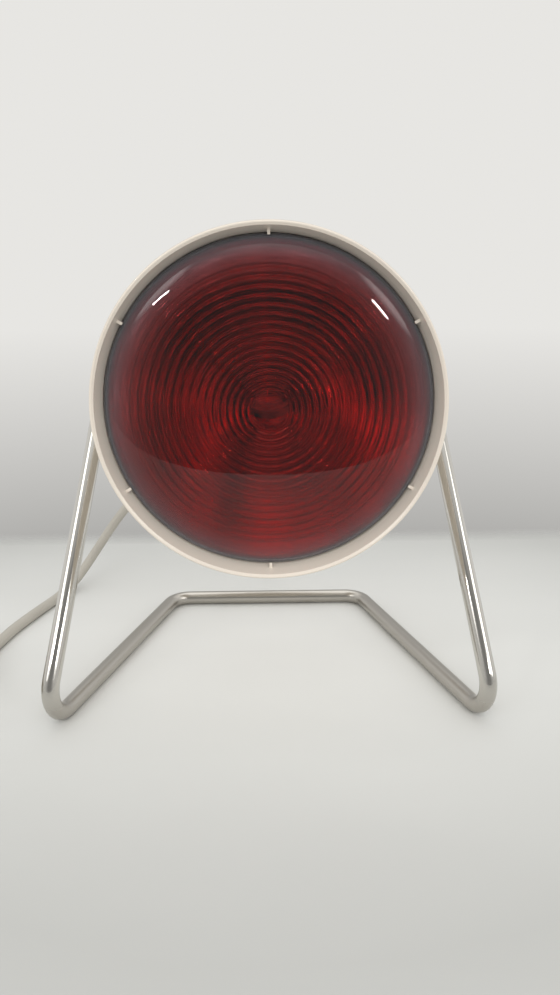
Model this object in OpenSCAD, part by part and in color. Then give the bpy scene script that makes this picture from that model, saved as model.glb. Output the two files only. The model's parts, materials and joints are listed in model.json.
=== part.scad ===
// Table-top infrared heat lamp: a bell-shaped head with a red reflector bulb, tilting in a wire stand.
// +Z is up, the lamp faces -Y, and the stand rests on Z = 0.

/* [Stand] */
// Diameter of the bent rod
rod_d = 8; // [6:0.5:10]
// Half the distance between the front corners of the stand
front_half = 102; // [98:1:110]
// Half the distance between the rear corners of the stand
rear_half = 58.5; // [45:0.5:75]
// Distance from the front corners to the rear bar
stand_depth = 154.5; // [130:0.5:170]
// How far the pivot axis stands behind the front corners
pivot_back = 88.5; // [75:0.5:100]
// Half the distance between the two uprights at the pivot axis
pivot_half = 81; // [80:1:86]
// Height of the pivot axis and of the lamp's axis above the table
pivot_z = 151.5; // [140:0.5:165]
// Centreline radius of the bends
bend_r = 13; // [10:0.5:16]

/* [Head] */
// Outer radius of the front ring
ring_r = 66.5; // [65:0.5:70]
// Distance from the front of the ring back to the pivot axis
rim_to_pivot = 112; // [106:1:118]
// Length of the head from the front of the ring to the back of the cover
head_len = 204; // [200:1:212]
// Wall thickness of the shell and the cover
wall = 2.2; // [1.6:0.1:2.6]
// Width of the vent slots in the cover
slot_w = 3; // [2:0.5:3.5]
// Number of small tabs on the ring's inner edge
tab_count = 6; // [3:1:12]

/* [Bulb] */
// Largest radius of the bulb
bulb_r = 62.5; // [60:0.5:62.5]
// Height of the bulb's domed face
dome_h = 12; // [8:0.5:14]
// Thickness of the glass
glass_t = 1.2; // [0.8:0.1:1.6]

/* [Mains lead] */
// Diameter of the lead
cord_d = 6; // [5:0.5:6.5]
// Distance between the turns that lie beside and on each other
coil_pitch = 6.1; // [5:0.1:7]

/* [Hidden] */
$fn = 96;

cream = [0.86, 0.82, 0.74];
nickel = [0.76, 0.74, 0.70];
steel = [0.62, 0.63, 0.65];
brass = [0.80, 0.65, 0.32];
porcelain = [0.93, 0.92, 0.88];
ruby = [0.50, 0.05, 0.05];
mirror_silver = [0.82, 0.80, 0.80];
lead_cream = [0.80, 0.78, 0.72];

// Stations along the lamp's axis, measured back from the front of the ring
ring_back = 15.8;
ring_seat = 9.2;
bell_start = 16;
bulb_equator = 9.5;
holder_front = 147;
plate_s = 150;
plate_t = 1.5;
cover_start = 150.3;
contact_end = 177.5;
holder_back = 187;
gland_face = 199;
relief_len = 28;
relief_tip = gland_face + relief_len;
gland_drop = 28;

// The stand's bounding box with the head is centred on the origin
rim_y = pivot_back - rim_to_pivot;
origin_y = (2 * rim_y + bulb_equator - dome_h + relief_tip) / 2;

bell_r = ring_r - 0.3;
bell_len = head_len - bell_start;

// Pivot stack, measured outwards from the middle of the head
boss_in = 50;
boss_out = 66;
boss_r = 13;
bush_r = 7;
bush_flange = 2;
pin_end = 44;
running_gap = 0.05;

// Winding of the unseen length: up to two turns beside each other on four levels
coil_r = 34;
coil_x = -191;
coil_y = 45;
coil_levels = 4;
coil_h = (coil_levels - 1) * coil_pitch + cord_d + 0.1;
coil_inner = coil_r - coil_pitch / 2 - cord_d / 2;
coil_outer = coil_r + coil_pitch / 2 + cord_d / 2;
plug_x = -230;
plug_y = 114;

// Route of the lead from the strain relief to the coil, and from the coil to the plug.
// X and Z are as built, and Y is measured from the stand's front corners.
cord_route = [
    [0, 204, 123.5], [-1, 211, 123], [-4, 218, 121.5], [-9, 224, 119], [-16, 228.5, 115],
    [-25, 231.5, 109.5], [-36, 232, 102.5], [-48, 230, 94], [-60, 226, 84.5], [-72, 220, 74],
    [-84.5, 213, 62], [-97, 205.5, 48], [-106, 200.5, 36.5], [-114, 195, 25], [-121, 189, 15],
    [-127, 181, 7.5], [-131.5, 170, 4], [-135, 158, 3.1], [-139, 145, 3.1], [-143.5, 130, 3.1],
    [-148, 113, 3.1], [-151, 96, 3.1], [-153, 79, 3.1], [-154, 62, 3.1], [-154, 45, 3.1]
];
tail_route = [
    [-228, 45, 21.4], [-228, 57, 21.4], [-228.5, 69, 20], [-229, 81, 16], [-229.5, 93, 11.5],
    [-230, 104, 8.3], [-230, 114, 6.9]
];

function unit(v) = v / norm(v);
function any_normal(v) = unit(cross(abs(v.z) < 0.9 ? [0, 0, 1] : [1, 0, 0], v));

// Places children with their own x and z axes along the given unit vectors
module oriented(origin, x, z) {
    y = cross(z, x);
    multmatrix([
        [x.x, y.x, z.x, origin.x],
        [x.y, y.y, z.y, origin.y],
        [x.z, y.z, z.z, origin.z],
        [0, 0, 0, 1]
    ]) children();
}

// Straight round bar between two points
module bar(a, b, r) {
    direction = unit(b - a);
    oriented(a, any_normal(direction), direction) cylinder(r = r, h = norm(b - a));
}

// Directions along a line of corners, the turn at each corner, and the way inwards there
function heading(points, i) = unit(points[i + 1] - points[i]);
function turn_angle(points, i) = acos(heading(points, i - 1) * heading(points, i));
function inwards(points, i) = let (into = heading(points, i - 1), out = heading(points, i))
    unit(out - into * (out * into));
function cut_back(points, i, radius) =
    i <= 0 || i >= len(points) - 1 ? 0 : radius * tan(turn_angle(points, i) / 2);
// How far the bending plane turns about the bar between corners i - 1 and i
function roll_angle(points, i) = let (
    turn = turn_angle(points, i - 1),
    side = cos(turn) * inwards(points, i - 1) - sin(turn) * heading(points, i - 2),
    next = inwards(points, i))
    atan2(cross(side, next) * heading(points, i - 1), side * next);

// A bend is drawn a hair thinner than the straights, which lap a little over both its ends
bend_thinning = 0.02;
lap = 0.3;

// Draws the bar from corner i on, along its own z axis, bending towards its own x axis
module bar_from(points, i, radius, r) {
    run = norm(points[i + 1] - points[i]) - cut_back(points, i, radius) - cut_back(points, i + 1, radius);
    lap_in = i == 0 ? 0 : lap;
    lap_out = i == len(points) - 2 ? 0 : lap;
    translate([0, 0, -lap_in]) cylinder(r = r, h = run + lap_in + lap_out);
    if (i < len(points) - 2) translate([0, 0, run]) rotate([0, 0, i == 0 ? 0 : roll_angle(points, i + 1)]) {
        turn = turn_angle(points, i + 1);
        translate([radius, 0, 0]) {
            rotate([0, 0, 180]) rotate([90, 0, 0])
                rotate_extrude(angle = turn) translate([radius, 0]) circle(r = r - bend_thinning);
            rotate([0, turn, 0]) translate([-radius, 0, 0]) bar_from(points, i + 1, radius, r);
        }
    }
}

// Round bar that follows corner points, with a bend at each inner corner
module bent_bar(points, radius, r) {
    oriented(points[0], inwards(points, 1), heading(points, 0)) bar_from(points, 0, radius, r);
}

// Frame with Y measured from the stand's front corners
module bench() {
    translate([0, -origin_y, 0]) children();
}

// Frame on the lamp's axis: z runs back from the front of the ring, and -y is up
module on_axis() {
    translate([0, rim_y - origin_y, pivot_z]) rotate([-90, 0, 0]) children();
}

// Frame at the pivot with z pointing outwards on one side, -1 or 1
module at_pivot(side) {
    translate([0, pivot_back - origin_y, pivot_z]) rotate([0, 90 * side, 0]) children();
}

module ring_of(count, start = 0) {
    for (i = [0:count - 1]) rotate(start + i * 360 / count) children();
}

module washer(outer, inner, h) {
    difference() {
        cylinder(r = outer, h = h);
        translate([0, 0, -1]) cylinder(r = inner, h = h + 2);
    }
}

// Pan head screw: the head stands on z = 0 and the shank goes down from it
module pan_screw(head_r, head_h, shank_r, shank_len) {
    difference() {
        union() {
            translate([0, 0, -shank_len]) cylinder(r = shank_r, h = shank_len);
            cylinder(r = head_r, h = head_h * 0.55);
            translate([0, 0, head_h * 0.55]) cylinder(r1 = head_r, r2 = head_r * 0.7, h = head_h * 0.45);
        }
        translate([-head_r * 1.2, -head_r * 0.14, head_h * 0.55])
            cube([head_r * 2.4, head_r * 0.28, head_h]);
    }
}

// ---- Stand ----

left_corners = [
    [-pin_end, pivot_back, pivot_z], [-pivot_half, pivot_back, pivot_z],
    [-front_half, 0, rod_d / 2], [-rear_half, stand_depth, rod_d / 2]
];
function mirrored(points) = [for (i = [len(points) - 1:-1:0]) [-points[i].x, points[i].y, points[i].z]];

module stand_rod() {
    color(nickel) bench() bent_bar(concat(left_corners, mirrored(left_corners)), bend_r, rod_d / 2);
}

module pivot_clips() {
    color(steel) for (side = [-1, 1]) at_pivot(side) translate([0, 0, boss_in - 2.9]) difference() {
        union() {
            cylinder(r = 5.2, h = 1);
            translate([0, 0, 1]) cylinder(r1 = 9, r2 = 9.4, h = 0.6);
        }
        translate([0, 0, -1]) cylinder(r = rod_d / 2, h = 4);
    }
}

module friction_washers() {
    color(steel) for (side = [-1, 1]) at_pivot(side) translate([0, 0, boss_in - 1.2]) difference() {
        cylinder(r1 = 9.5, r2 = 8, h = 1.1);
        translate([0, 0, -1]) cylinder(r = rod_d / 2 + 0.1, h = 4);
    }
}

// ---- Housing ----

// Point of the bell's outline: turn is 0 at the front and 90 at the back
function bell_point(turn, inset) = [
    (bell_r - inset) * cos(turn),
    bell_start + (bell_len - inset) * pow(sin(turn), 1 / 1.1)
];
// The outline's radius at a station
function bell_radius(s, inset) =
    (bell_r - inset) * sqrt(1 - pow((s - bell_start) / (bell_len - inset), 2.2));
function turn_at(s, inset) = acos(bell_radius(s, inset) / (bell_r - inset));
function bell_curve(from, to, inset, steps) = [
    for (i = [0:steps]) bell_point(
        turn_at(from, inset) + (turn_at(to, inset) - turn_at(from, inset)) * i / steps, inset)
];
function backwards(points) = [for (i = [len(points) - 1:-1:0]) points[i]];

spigot_r = bell_radius(cover_start, wall) - 0.2;
spigot_t = 2;
spigot_front = 143;
screw_s = 146.6;
post_r = 36;
cover_bolts = 3;

module front_ring() {
    tab_len = 3;
    inner = 63.2;
    color(cream) on_axis() {
        rotate_extrude() polygon([
            [inner, 8], [64.6, 0.5], [64.9, 0.15], [65.5, 0], [66.1, 0.25],
            [ring_r - 0.1, 0.7], [ring_r, 1.4], [ring_r, ring_back],
            [64.7, ring_back], [64.7, ring_seat], [inner, ring_seat]
        ]);
        ring_of(tab_count, 30) translate([inner - 1.5, -0.6, 5.4]) cube([tab_len, 1.2, 1]);
    }
}

module housing_shell() {
    color(cream) on_axis() difference() {
        union() {
            rotate_extrude() polygon(concat(
                [[63, ring_seat], [64.6, ring_seat], [64.6, bell_start]],
                bell_curve(bell_start, cover_start - 0.1, 0, 14),
                backwards(bell_curve(bell_start, cover_start - 0.1, wall, 14)),
                [[63, bell_start]]
            ));
            for (side = [-1, 1]) translate([0, 0, rim_to_pivot]) rotate([0, 90 * side, 0]) intersection() {
                translate([0, 0, boss_in]) cylinder(r = boss_r, h = boss_out - boss_in);
                translate([0, 0, boss_in])
                    cylinder(r1 = boss_r + 16, r2 = boss_r - 1, h = boss_out - boss_in);
            }
            ring_of(3, 30) {
                translate([post_r, 0, 126]) cylinder(r = 3.2, h = plate_s - 126);
                translate([post_r, -1, 122]) cube([bell_radius(139, wall) - post_r + 1, 2, 17]);
            }
        }
        for (side = [-1, 1]) translate([0, 0, rim_to_pivot]) rotate([0, 90 * side, 0])
            translate([0, 0, boss_in - 4]) cylinder(r = bush_r, h = boss_out - boss_in + 8);
        ring_of(3, 30) translate([post_r, 0, plate_s - 12]) cylinder(r = 1.4, h = 14);
        ring_of(cover_bolts, 90) translate([0, 0, screw_s]) rotate([0, 90, 0]) {
            translate([0, 0, 40]) cylinder(r = 1.6, h = 20);
            translate([0, 0, 48.3]) cylinder(r = 3.1, h = 20);
        }
    }
}

module rear_cover() {
    color(cream) on_axis() difference() {
        union() {
            rotate_extrude() polygon(concat(
                bell_curve(cover_start, head_len, 0, 16), [[0, head_len - 20], [spigot_r - 6, cover_start]]));
            translate([0, gland_drop, cover_start + 16]) cylinder(r = 9, h = gland_face - cover_start - 16);
            translate([0, 0, spigot_front]) cylinder(r = spigot_r, h = 12);
        }
        // Cavity
        rotate_extrude() polygon(concat(
            [[0, spigot_front - 1], [spigot_r - spigot_t, spigot_front - 1]],
            [[spigot_r - spigot_t, cover_start + 1]],
            bell_curve(cover_start + 4, head_len - wall, wall, 16)
        ));
        // Vent slots in two fans, clear of the cord boss
        for (turn = [0:15:180]) rotate(turn + 180) translate([17, -slot_w / 2, 150]) cube([18, slot_w, 70]);
        for (turn = [15, 30, 150, 165]) rotate(turn) translate([17, -slot_w / 2, 150]) cube([18, slot_w, 70]);
        translate([0, gland_drop, 160]) cylinder(r = 5.2, h = 60);
        ring_of(cover_bolts, 90) translate([0, 0, screw_s]) rotate([0, 90, 0])
            translate([0, 0, 35]) cylinder(r = 1.4, h = 20);
    }
    color(cream) on_axis() saddle();
}

// Moulded saddle under the lead, on the cover's inside wall
saddle_s = 170;
module saddle() {
    difference() {
        translate([-11.5, gland_drop - 2, saddle_s]) cube([23, 8.2, 8]);
        translate([0, gland_drop, saddle_s - 1]) cylinder(r = cord_d / 2, h = 10);
        translate([-cord_d / 2, gland_drop - 5, saddle_s - 1]) cube([cord_d, 5, 10]);
        for (x = [-8, 8]) translate([x, gland_drop + 4.5, saddle_s + 4]) rotate([90, 0, 0])
            cylinder(r = 1.3, h = 10);
    }
}

module cover_screws() {
    color(steel) on_axis() ring_of(cover_bolts, 90) translate([0, 0, screw_s]) rotate([0, 90, 0])
        translate([0, 0, 48.3]) pan_screw(2.9, 1.9, 1.4, 7);
}

module pivot_bush(side) {
    color([0.72, 0.70, 0.66]) at_pivot(side) difference() {
        union() {
            translate([0, 0, boss_in]) cylinder(r = bush_r, h = boss_out - boss_in);
            translate([0, 0, boss_out]) cylinder(r = 11, h = bush_flange);
        }
        translate([0, 0, boss_in - 1]) cylinder(r = rod_d / 2 + running_gap, h = 30);
    }
}
module pivot_bush_left() { pivot_bush(-1); }
module pivot_bush_right() { pivot_bush(1); }

// ---- Bulb ----

// Outline of the domed face, from the middle to the edge
function dome_point(part, inset) = [
    (bulb_r - inset) * sin(90 * part),
    bulb_equator - (dome_h - inset) * pow(cos(90 * part), 0.83)
];
function dome_curve(inset, steps) = [for (i = [0:steps]) dome_point(i / steps, inset)];

parabola_end = 98;
neck_start = 114;
neck_end = 146;
neck_r = 17.5;
function parabola_r(s) = sqrt(bulb_r * bulb_r - 38.1 * (s - bulb_equator - 1));
// Outline of the body: a parabola, a rounded throat and a straight neck
function body_curve(inset) = concat(
    [for (i = [0:14]) let (s = bulb_equator + 1 + (parabola_end - bulb_equator - 1) * i / 14)
        [parabola_r(s) - inset, s]],
    [for (i = [1:6]) let (p = i / 6, s = parabola_end + (neck_start - parabola_end) * p)
        [neck_r + (parabola_r(parabola_end) - neck_r) * pow(1 - p, 2.2) - inset, s]],
    [[neck_r - 1.5 - inset, neck_end]]
);

module bulb_face() {
    color(ruby) on_axis() rotate_extrude() polygon(concat(
        dome_curve(0, 18), backwards(dome_curve(glass_t, 18))));
}

module bulb_reflector() {
    color(mirror_silver) on_axis() rotate_extrude() polygon(concat(
        [[bulb_r - glass_t, bulb_equator], [bulb_r, bulb_equator]],
        body_curve(0), backwards(body_curve(glass_t))));
}

// The cap meets the end of the glass neck and has a rolled thread of plain rings
cap_front = 149;
cap_threads = 5;
cap_pitch = 3.6;
cap_thread_r = 12.9;
thread_depth = 0.5;
module bulb_cap() {
    color(brass) on_axis() rotate_extrude() polygon(concat(
        [[14.9, neck_end], [16.4, neck_end], [16.4, neck_end + 0.8], [14.2, cap_front + 2]],
        [for (i = [0:cap_threads * 8])
            [cap_thread_r - thread_depth * cos(45 * i), cap_front + 3 + cap_pitch * i / 8]],
        [[11, cap_front + 23], [9.6, cap_front + 23.6], [9, cap_front + 23.2], [11, cap_front + 21.5]],
        [[12.1, cap_front + 21], [12.1, cap_front + 3], [13.2, cap_front + 1.6]]
    ));
}

module bulb_cap_insulator() {
    color([0.12, 0.11, 0.11]) on_axis() translate([0, 0, cap_front + 23.6]) difference() {
        cylinder(r1 = 9.4, r2 = 5.2, h = 3);
        translate([0, 0, -1]) cylinder(r = 2, h = 6);
    }
}

module bulb_contact() {
    color(brass) on_axis() {
        translate([0, 0, cap_front + 24]) cylinder(r = 2, h = 2.6);
        translate([0, 0, cap_front + 26.6]) cylinder(r1 = 4.9, r2 = 3.4, h = contact_end - cap_front - 26.6);
    }
}

stem_front = 112;
hub_r = 1.4;
module bulb_stem() {
    color([0.85, 0.88, 0.88]) on_axis() {
        translate([-7, -1.8, stem_front]) cube([14, 3.6, 9]);
        translate([0, 0, stem_front + 9]) cylinder(r1 = 4.5, r2 = 5.5, h = 21);
        translate([0, 0, stem_front + 30]) cylinder(r1 = 5.5, r2 = 14.4, h = neck_end - stem_front - 30);
        translate([0, 0, stem_front - 14]) cylinder(r = hub_r, h = 14);
    }
}

filament_s = 99;
filament_r = 13;
module bulb_leads() {
    color(nickel) on_axis() for (side = [-1, 1])
        bent_bar([
            [side * 5, 0, stem_front], [side * 5, 0, filament_s + 7], [side * 9.4, 9, filament_s]
        ], 3, 0.5);
}

module filament_supports() {
    color(nickel) on_axis() ring_of(4, 0)
        bar([hub_r + 0.02, 0, filament_s + 1], [filament_r - 0.95, 0, filament_s], 0.25);
}

module bulb_filament() {
    color([0.45, 0.43, 0.42]) on_axis() rotate(138) rotate_extrude(angle = 264)
        translate([filament_r, 0]) translate([0, filament_s]) circle(r = 0.9);
}

// ---- Lampholder ----

holder_r = 20;
tail_r = 17.5;
module lampholder_body() {
    color(porcelain) on_axis() difference() {
        union() {
            translate([0, 0, holder_front]) cylinder(r = holder_r, h = plate_s + plate_t - holder_front);
            translate([0, 0, plate_s + plate_t]) cylinder(r = 27, h = 4.5);
            translate([0, 0, plate_s + plate_t + 4.5])
                cylinder(r = tail_r, h = holder_back - plate_s - plate_t - 4.5);
        }
        translate([0, 0, holder_front - 1]) cylinder(r = 18, h = 5.5);
        translate([0, 0, holder_front]) cylinder(r = 14.5, h = 33);
        for (x = [-23, 23]) translate([x, 0, plate_s]) cylinder(r = 1.7, h = 10);
        for (x = [-9, 9]) translate([x, 0, holder_back - 5]) cylinder(r = 1.6, h = 6);
    }
}

module lampholder_shell() {
    color(brass) on_axis() rotate_extrude() polygon(concat(
        [for (i = [0:cap_threads * 8]) [13.8 - 0.2 * cos(45 * i), cap_front + 3 + cap_pitch * i / 8]],
        [[14.4, cap_front + 21.5], [14.4, cap_front + 3]]
    ));
}

module lampholder_contact() {
    color(brass) on_axis() {
        translate([-3, -3, contact_end]) cube([6, 12, 0.8]);
        translate([-3, 7.5, contact_end + 0.8]) cube([6, 1.5, holder_front + 33 - contact_end - 0.8]);
    }
}

module lampholder_plate() {
    color(steel) on_axis() translate([0, 0, plate_s]) difference() {
        cylinder(r = 41, h = plate_t);
        translate([0, 0, -1]) cylinder(r = holder_r + 0.1, h = 4);
        ring_of(3, 30) translate([post_r, 0, -1]) cylinder(r = 1.7, h = 4);
        for (x = [-23, 23]) translate([x, 0, -1]) cylinder(r = 1.4, h = 4);
        ring_of(3, 90) for (turn = [-24, -8, 8, 24])
            rotate(turn) translate([34, 0, -1]) cylinder(r = 3, h = 4);
    }
}

module plate_screws() {
    color(steel) on_axis() ring_of(3, 30) translate([post_r, 0, plate_s + plate_t])
        pan_screw(2.9, 1.8, 1.4, 10);
}

module holder_screws() {
    color(steel) on_axis() for (x = [-23, 23]) translate([x, 0, plate_s + plate_t + 4.5])
        pan_screw(2.8, 2, 1.4, 6);
}

module terminal_screws() {
    color(brass) on_axis() for (x = [-9, 9]) translate([x, 0, holder_back]) pan_screw(3.2, 2.2, 1.6, 5);
}

// ---- Lead inside the head ----

// The wire's points are [x, station, depth below the axis]
function wire_route(side) = [for (p = [
    [1.4, 165, 28], [1.7, 161.5, 27], [4.5, 159, 25], [10, 160, 22.5], [15.5, 164, 18.5], [19, 170, 14],
    [20.3, 177, 10], [20, 183, 6.5], [18, 187.5, 3.5], [15.3, 188.6, 1], [12.2, 188.6, 0]
]) [side * p.x, rim_y + p.y, pivot_z - p.z]];
module inner_wire(side) {
    bench() tube(smooth_route(wire_route(side), 3), 1.9, 8);
}
module wire_live() { color([0.45, 0.25, 0.15]) inner_wire(1); }
module wire_neutral() { color([0.20, 0.35, 0.60]) inner_wire(-1); }

module cord_inner() {
    color(lead_cream) on_axis() translate([0, gland_drop, 165])
        cylinder(r = cord_d / 2, h = relief_tip - 165);
}

clamp_t = 2.4;
module cord_clamp() {
    color(steel) on_axis() difference() {
        translate([-11, gland_drop - cord_d / 2 - clamp_t, saddle_s + 0.5]) cube([22, clamp_t, 7]);
        for (x = [-8, 8]) translate([x, gland_drop, saddle_s + 4])
            rotate([90, 0, 0]) cylinder(r = 1.5, h = 10);
    }
}

module clamp_screws() {
    color(steel) on_axis() for (x = [-8, 8])
        translate([x, gland_drop - cord_d / 2 - clamp_t, saddle_s + 4]) rotate([90, 0, 0])
            pan_screw(2.3, 1.6, 1.3, 8);
}

module strain_relief() {
    color(lead_cream) on_axis() translate([0, gland_drop, 0]) difference() {
        union() {
            translate([0, 0, 190]) cylinder(r = 5.2, h = gland_face - 190);
            translate([0, 0, gland_face]) cylinder(r = 7.2, h = 2.5);
            translate([0, 0, gland_face + 2.5]) cylinder(r1 = 5.6, r2 = 4.2, h = relief_len - 2.5);
        }
        translate([0, 0, 180]) cylinder(r = cord_d / 2, h = 60);
        for (i = [0:3]) translate([-8, i % 2 == 0 ? 3.6 : -9.6, gland_face + 6 + 5 * i]) cube([16, 6, 1.8]);
    }
}

// ---- Free lead ----

function route_dir(points, i) = unit(points[min(i + 1, len(points) - 1)] - points[max(i - 1, 0)]);
// Catmull-Rom point between points i and i + 1
function smooth(points, i, t) = let (
    a = points[max(i - 1, 0)], b = points[i], c = points[i + 1], d = points[min(i + 2, len(points) - 1)])
    0.5 * (2 * b + (c - a) * t + (2 * a - 5 * b + 4 * c - d) * t * t + (3 * b - a - 3 * c + d) * t * t * t);
function smooth_route(points, steps) = concat(
    [for (i = [0:len(points) - 2]) for (k = [0:steps - 1]) smooth(points, i, k / steps)],
    [points[len(points) - 1]]);

// Tube swept along points
module tube(points, d, sides) {
    n = len(points);
    ring = [for (i = [0:n - 1]) let (
        z = route_dir(points, i), x = unit(cross([0, 0, 1], z)), y = cross(z, x))
        for (k = [0:sides - 1]) points[i] + (x * cos(360 * k / sides) + y * sin(360 * k / sides)) * d / 2];
    sides_faces = [for (i = [0:n - 2]) for (k = [0:sides - 1]) let (m = (k + 1) % sides)
        [i * sides + k, i * sides + m, (i + 1) * sides + m, (i + 1) * sides + k]];
    polyhedron(ring, concat(
        [[for (k = [sides - 1:-1:0]) k]], sides_faces, [[for (k = [0:sides - 1]) (n - 1) * sides + k]]));
}

module mains_cord() {
    color(lead_cream) bench() tube(smooth_route(cord_route, 2), cord_d, 12);
}

module cord_tail() {
    color(lead_cream) bench() tube(smooth_route(tail_route, 2), cord_d, 12);
}

module cord_coil() {
    color(lead_cream) bench() translate([coil_x, coil_y, 0]) rotate_extrude()
        translate([coil_inner, 0]) square([coil_outer - coil_inner, coil_h]);
}

tie_t = 1;
module cord_tie() {
    tie_w = 9;
    color([0.25, 0.25, 0.26]) bench() translate([coil_x, coil_y - coil_r, 0]) difference() {
        translate([-tie_w / 2, coil_inner - coil_r - tie_t - 0.5, 0])
            cube([tie_w, coil_outer - coil_inner + 2 * tie_t + 1, coil_h + tie_t]);
        translate([-tie_w, coil_inner - coil_r - 0.5, tie_t / 2])
            cube([2 * tie_w, coil_outer - coil_inner + 1, coil_h - tie_t / 2]);
    }
}

// Flat two-pin plug lying on the table, pins along +Y
plug_len = 36;
plug_w = 35.3;
plug_t = 13.7;
pin_spacing = 18.6;
pin_len = 19;
boot_len = 16;
module plug_frame() {
    bench() translate([plug_x, plug_y, plug_t / 2]) rotate([-90, 0, 0]) children();
}

module plug_boot() {
    color([0.82, 0.80, 0.75]) plug_frame() difference() {
        cylinder(r1 = 4.4, r2 = 5.8, h = boot_len);
        translate([0, 0, -1]) cylinder(r = cord_d / 2, h = boot_len + 2);
    }
}

module plug_body() {
    color([0.82, 0.80, 0.75]) plug_frame() translate([0, 0, boot_len]) difference() {
        hull() {
            for (x = [-1, 1]) translate([x * (plug_w - plug_t) / 2, 0, 12])
                cylinder(r = plug_t / 2, h = plug_len - 12, $fn = 32);
            for (x = [-1, 1]) translate([x * 4, 0, 0]) cylinder(r = plug_t / 2 - 0.8, h = 1, $fn = 32);
        }
        for (x = [-1, 1]) translate([x * pin_spacing / 2, 0, plug_len - 8]) cylinder(r = core_r, h = 10);
    }
}

pin_r = 2;
core_r = 1.35;
sleeve_r = 1.7;
sleeve_len = 10;
module plug_pins() {
    color(nickel) plug_frame() for (x = [-1, 1]) translate([x * pin_spacing / 2, 0, boot_len + plug_len]) {
        translate([0, 0, -8]) cylinder(r = core_r, h = 8 + sleeve_len);
        translate([0, 0, sleeve_len]) cylinder(r = pin_r, h = pin_len - sleeve_len - 1);
        translate([0, 0, pin_len - 1]) cylinder(r1 = pin_r, r2 = 1.2, h = 1);
    }
}

module plug_pin_sleeves() {
    color([0.15, 0.15, 0.15]) plug_frame() for (x = [-1, 1])
        translate([x * pin_spacing / 2, 0, boot_len + plug_len]) washer(sleeve_r, core_r, sleeve_len);
}

stand_rod();
pivot_clips();
friction_washers();
front_ring();
housing_shell();
rear_cover();
cover_screws();
pivot_bush_left();
pivot_bush_right();
bulb_face();
bulb_reflector();
bulb_cap();
bulb_cap_insulator();
bulb_contact();
bulb_stem();
bulb_leads();
filament_supports();
bulb_filament();
lampholder_body();
lampholder_shell();
lampholder_contact();
lampholder_plate();
plate_screws();
holder_screws();
terminal_screws();
wire_live();
wire_neutral();
cord_inner();
cord_clamp();
clamp_screws();
strain_relief();
mains_cord();
cord_coil();
cord_tail();
cord_tie();
plug_body();
plug_boot();
plug_pins();
plug_pin_sleeves();
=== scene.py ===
"""Looks of a table-top infrared heat lamp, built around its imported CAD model.

Lengths are in metres. The lamp faces -Y and stands on z = 0. A station is a distance along the
lamp's axis, measured back from the front of its ring.
"""

import json
import math

import bmesh
import bpy
from mathutils import Matrix, Vector


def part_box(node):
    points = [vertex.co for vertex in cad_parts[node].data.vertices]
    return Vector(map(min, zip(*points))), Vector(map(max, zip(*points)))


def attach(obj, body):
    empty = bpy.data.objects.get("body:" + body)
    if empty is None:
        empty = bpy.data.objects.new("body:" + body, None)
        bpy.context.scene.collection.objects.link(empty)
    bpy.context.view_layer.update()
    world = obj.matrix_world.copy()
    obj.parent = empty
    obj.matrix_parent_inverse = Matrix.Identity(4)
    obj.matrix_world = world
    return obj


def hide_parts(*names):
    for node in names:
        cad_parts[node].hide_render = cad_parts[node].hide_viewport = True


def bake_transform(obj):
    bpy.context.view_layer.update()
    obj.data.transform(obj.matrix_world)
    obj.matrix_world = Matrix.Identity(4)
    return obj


MM = 0.001

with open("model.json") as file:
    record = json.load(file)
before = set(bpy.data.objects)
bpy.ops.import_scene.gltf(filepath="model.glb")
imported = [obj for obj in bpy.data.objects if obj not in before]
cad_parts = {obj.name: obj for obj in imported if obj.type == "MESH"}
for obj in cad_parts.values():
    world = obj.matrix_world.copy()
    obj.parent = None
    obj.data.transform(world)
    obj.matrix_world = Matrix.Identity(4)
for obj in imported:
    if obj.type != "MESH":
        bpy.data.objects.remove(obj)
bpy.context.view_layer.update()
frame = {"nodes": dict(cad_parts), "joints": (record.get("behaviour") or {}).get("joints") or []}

# ---------------------------------------------------------------- places read from the frame

PIVOT = Vector(frame["joints"][0]["pos_m"])
ring_low, ring_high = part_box("front_ring")
rod_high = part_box("stand_rod")[1]
plug_low, plug_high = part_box("plug_body")
RIM_Y = ring_low.y
AXIS_Z = PIVOT.z
RING_R = (ring_high.x - ring_low.x) / 2
ROD_R = rod_high.z - PIVOT.z
STAND_DEPTH = 154.5
STAND_FRONT_Y = rod_high.y - ROD_R - STAND_DEPTH * MM

# ---------------------------------------------------------------- camera


CAMERA_X, CAMERA_Y, CAMERA_Z = -3.68 * MM, -396.63 * MM, 195.73 * MM
CAMERA_DOWN, CAMERA_TURN, CAMERA_ROLL = 15.26, 1.46, -0.18
LENS, SENSOR = 28.13, 36


def make_camera():
    """Camera in front of the lamp, a little above it and tipped down towards it."""
    data = bpy.data.cameras.new("camera")
    data.lens = LENS
    data.sensor_width = SENSOR
    camera = bpy.data.objects.new("camera", data)
    bpy.context.scene.collection.objects.link(camera)
    down, turn, roll = (math.radians(angle) for angle in (CAMERA_DOWN, CAMERA_TURN, CAMERA_ROLL))
    look = Vector((math.sin(turn) * math.cos(down), math.cos(turn) * math.cos(down), -math.sin(down)))
    level = Vector((math.cos(turn), -math.sin(turn), 0))
    up = level.cross(look)
    right = level * math.cos(roll) + up * math.sin(roll)
    up = right.cross(look)
    camera.matrix_world = Matrix(
        (
            (right.x, up.x, -look.x, CAMERA_X),
            (right.y, up.y, -look.y, CAMERA_Y),
            (right.z, up.z, -look.z, CAMERA_Z),
            (0, 0, 0, 1),
        )
    )
    bpy.context.scene.camera = camera


make_camera()

# ---------------------------------------------------------------- mesh helpers


def bench(point_mm):
    """A point given in millimetres from the stand's front corners, in the frame's metres."""
    return Vector((point_mm[0], point_mm[1], point_mm[2])) * MM + Vector((0, STAND_FRONT_Y, 0))


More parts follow.
